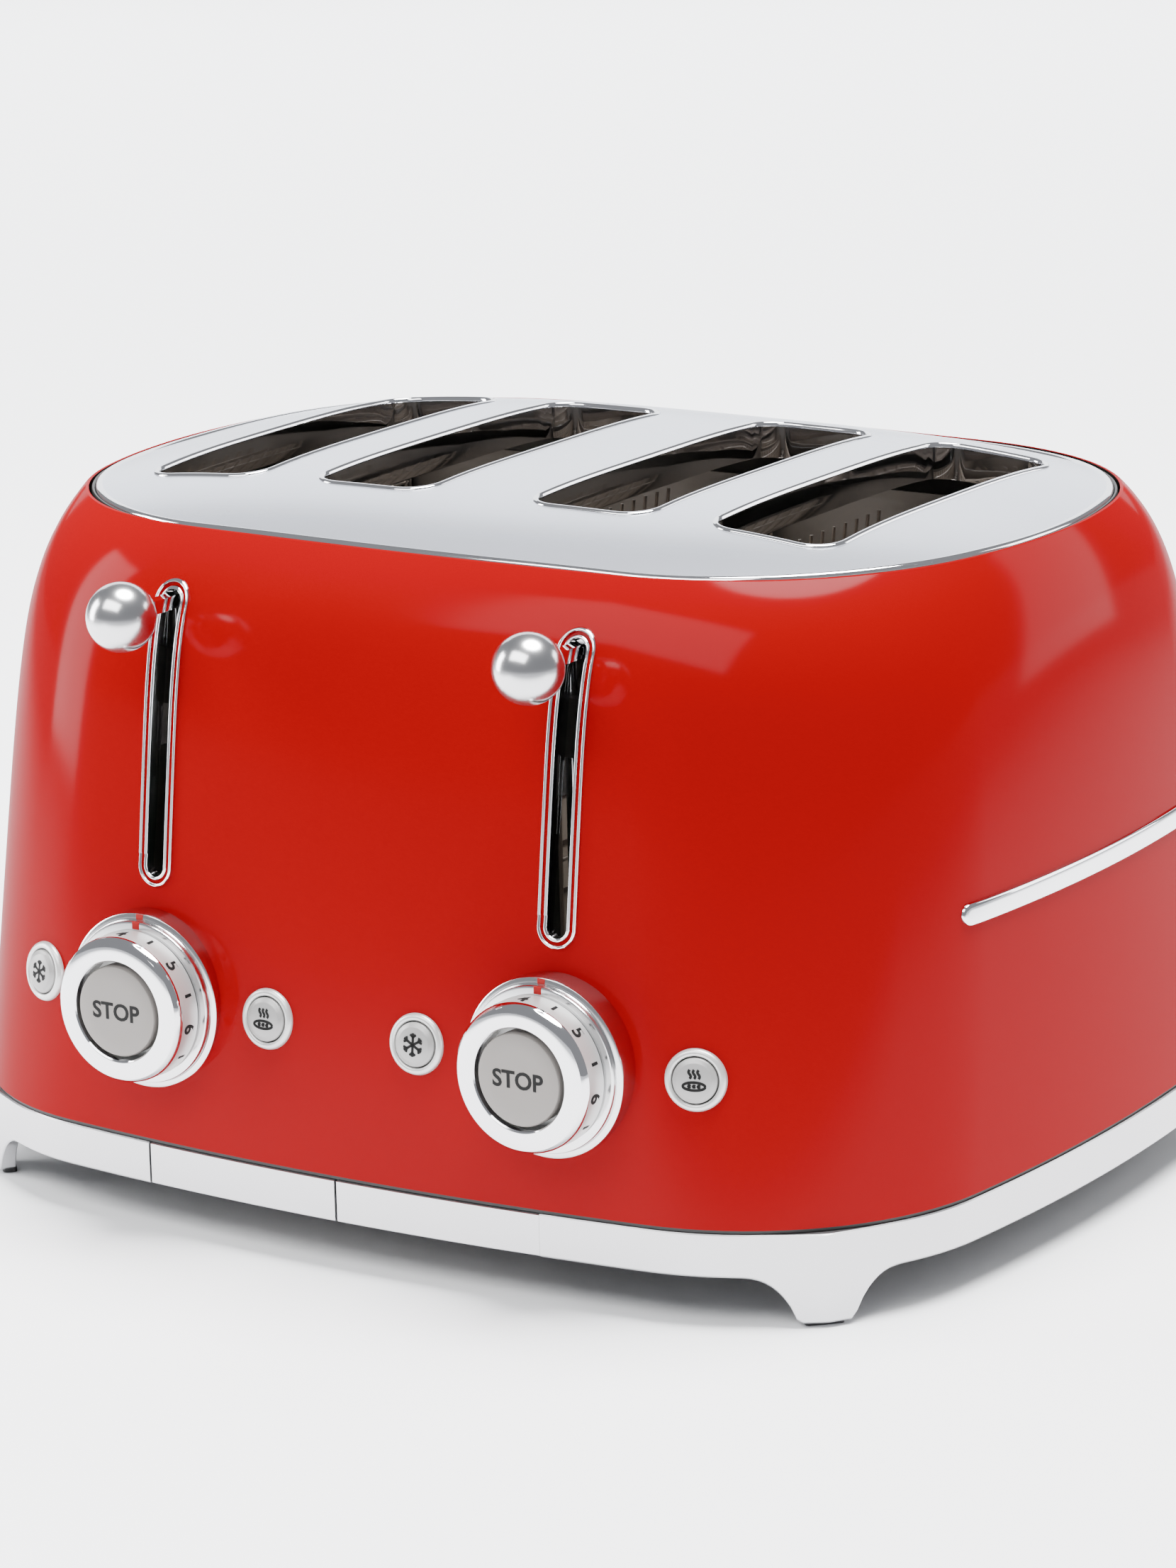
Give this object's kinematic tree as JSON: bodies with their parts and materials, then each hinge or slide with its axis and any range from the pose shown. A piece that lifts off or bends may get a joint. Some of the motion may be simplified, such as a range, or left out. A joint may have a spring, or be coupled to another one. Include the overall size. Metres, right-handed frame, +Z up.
{
  "type": "pop-up toaster",
  "caption": "Pop-up toaster with rounded enamel case, crowned steel top with bread slots, ball levers, browning dials with stop buttons, defrost and bagel buttons, and crumb trays.",
  "frame": {"origin": "middle of the whole envelope in plan, at the undersides of the foot pads", "axes": "+X to the right and +Y away from a person facing the dials, +Z up"},
  "size_m": [0.355, 0.314, 0.2205],
  "materials": {
    "red_enamel": "gloss enamel",
    "satin_steel": "satin polished",
    "satin_silver": "satin silver",
    "chrome": "polished",
    "rubber": "matt",
    "dark_plastic": "matt",
    "dial_grey": "satin",
    "steel_sheet": "plain sheet",
    "mica": "matt",
    "heating_wire": "dull",
    "circuit_board": "satin"
  },
  "bodies": {
    "case": {"base_band": "satin_silver", "base_screws": "steel_sheet", "body_shell": "red_enamel", "bottom_cover": "dark_plastic", "button_bezels": "chrome", "chassis_front": "steel_sheet", "chassis_rear": "steel_sheet", "control_board_left": "circuit_board", "control_board_right": "circuit_board", "cord_gland": "dark_plastic", "dial_bezel_left": "chrome", "dial_bezel_right": "chrome", "dial_encoders": "dark_plastic", "foot_pads": "rubber", "guide_rods_left": "steel_sheet", "guide_rods_right": "steel_sheet", "heater_cards_left": "mica", "heater_cards_right": "mica", "heater_wires_left": "heating_wire", "heater_wires_right": "heating_wire", "latch_magnet_left": "dark_plastic", "latch_magnet_right": "dark_plastic", "lever_bezel_left": "chrome", "lever_bezel_right": "chrome", "lift_spring_left": "steel_sheet", "lift_spring_right": "steel_sheet", "reflector_centre": "steel_sheet", "reflector_left": "steel_sheet", "reflector_right": "steel_sheet", "side_badge_left": "chrome", "side_badge_right": "chrome", "top_plate": "satin_steel", "top_seal": "rubber", "trim_ring": "chrome"},
    "carriage_left": {"carriage_left": "steel_sheet", "lever_arm_left": "chrome", "lever_ball_left": "chrome", "bread_lifter_1": "steel_sheet", "bread_lifter_2": "steel_sheet"},
    "guides_left_a": {"bread_guides_left_a": "steel_sheet"},
    "guides_left_b": {"bread_guides_left_b": "steel_sheet"},
    "dial_left": {"dial_left": "dial_grey"},
    "stop_left": {"stop_button_left": "dial_grey"},
    "tray_left": {"crumb_tray_left": "satin_silver"},
    "carriage_right": {"carriage_right": "steel_sheet", "lever_arm_right": "chrome", "lever_ball_right": "chrome", "bread_lifter_3": "steel_sheet", "bread_lifter_4": "steel_sheet"},
    "guides_right_a": {"bread_guides_right_a": "steel_sheet"},
    "guides_right_b": {"bread_guides_right_b": "steel_sheet"},
    "dial_right": {"dial_right": "dial_grey"},
    "stop_right": {"stop_button_right": "dial_grey"},
    "tray_right": {"crumb_tray_right": "satin_silver"},
    "defrost_left": {"defrost_button_left": "dial_grey"},
    "bagel_left": {"bagel_button_left": "dial_grey"},
    "defrost_right": {"defrost_button_right": "dial_grey"},
    "bagel_right": {"bagel_button_right": "dial_grey"}
  },
  "joints": [
    {"name": "lever_left", "type": "slide", "parent": "case", "child": "carriage_left", "axis": [0, 0, -1], "range_m": [0, 0.07], "stiffness_N_per_m": 60, "springref_m": -0.09, "deforming": ["lift_spring_left"]},
    {"name": "guides_left_a_close", "type": "slide", "parent": "case", "child": "guides_left_a", "axis": [1, 0, 0], "range_m": [0, 0.004]},
    {"name": "guides_left_b_close", "type": "slide", "parent": "case", "child": "guides_left_b", "axis": [-1, 0, 0], "range_m": [0, 0.004]},
    {"name": "browning_left", "type": "hinge", "parent": "case", "child": "dial_left", "pos_m": [-0.0715, -0.15, 0.0722], "axis": [0, 1, 0], "range_deg": [0, 260]},
    {"name": "stop_left_press", "type": "slide", "parent": "case", "child": "stop_left", "axis": [0, 1, 0], "range_m": [0, 0.002], "stiffness_N_per_m": 400, "springref_m": -0.001},
    {"name": "tray_left_slide", "type": "slide", "parent": "case", "child": "tray_left", "axis": [0, -1, 0], "range_m": [0, 0.17]},
    {"name": "lever_right", "type": "slide", "parent": "case", "child": "carriage_right", "axis": [0, 0, -1], "range_m": [0, 0.07], "stiffness_N_per_m": 60, "springref_m": -0.09, "deforming": ["lift_spring_right"]},
    {"name": "guides_right_a_close", "type": "slide", "parent": "case", "child": "guides_right_a", "axis": [1, 0, 0], "range_m": [0, 0.004]},
    {"name": "guides_right_b_close", "type": "slide", "parent": "case", "child": "guides_right_b", "axis": [-1, 0, 0], "range_m": [0, 0.004]},
    {"name": "browning_right", "type": "hinge", "parent": "case", "child": "dial_right", "pos_m": [0.0715, -0.15, 0.0722], "axis": [0, 1, 0], "range_deg": [0, 260]},
    {"name": "stop_right_press", "type": "slide", "parent": "case", "child": "stop_right", "axis": [0, 1, 0], "range_m": [0, 0.002], "stiffness_N_per_m": 400, "springref_m": -0.001},
    {"name": "tray_right_slide", "type": "slide", "parent": "case", "child": "tray_right", "axis": [0, -1, 0], "range_m": [0, 0.17]},
    {"name": "defrost_left_press", "type": "slide", "parent": "case", "child": "defrost_left", "axis": [0.311, 0.942, -0.1263], "range_m": [0, 0.0015], "stiffness_N_per_m": 400, "springref_m": -0.001},
    {"name": "bagel_left_press", "type": "slide", "parent": "case", "child": "bagel_left", "axis": [0.0301, 0.9912, -0.1291], "range_m": [0, 0.0015], "stiffness_N_per_m": 400, "springref_m": -0.001},
    {"name": "defrost_right_press", "type": "slide", "parent": "case", "child": "defrost_right", "axis": [-0.0301, 0.9912, -0.1291], "range_m": [0, 0.0015], "stiffness_N_per_m": 400, "springref_m": -0.001},
    {"name": "bagel_right_press", "type": "slide", "parent": "case", "child": "bagel_right", "axis": [-0.311, 0.942, -0.1263], "range_m": [0, 0.0015], "stiffness_N_per_m": 400, "springref_m": -0.001}
  ],
  "couplings": [
    {"joint": "guides_left_a_close", "follows": "lever_left", "ratio": 0.057143},
    {"joint": "guides_left_b_close", "follows": "lever_left", "ratio": 0.057143},
    {"joint": "guides_right_a_close", "follows": "lever_right", "ratio": 0.057143},
    {"joint": "guides_right_b_close", "follows": "lever_right", "ratio": 0.057143}
  ]
}
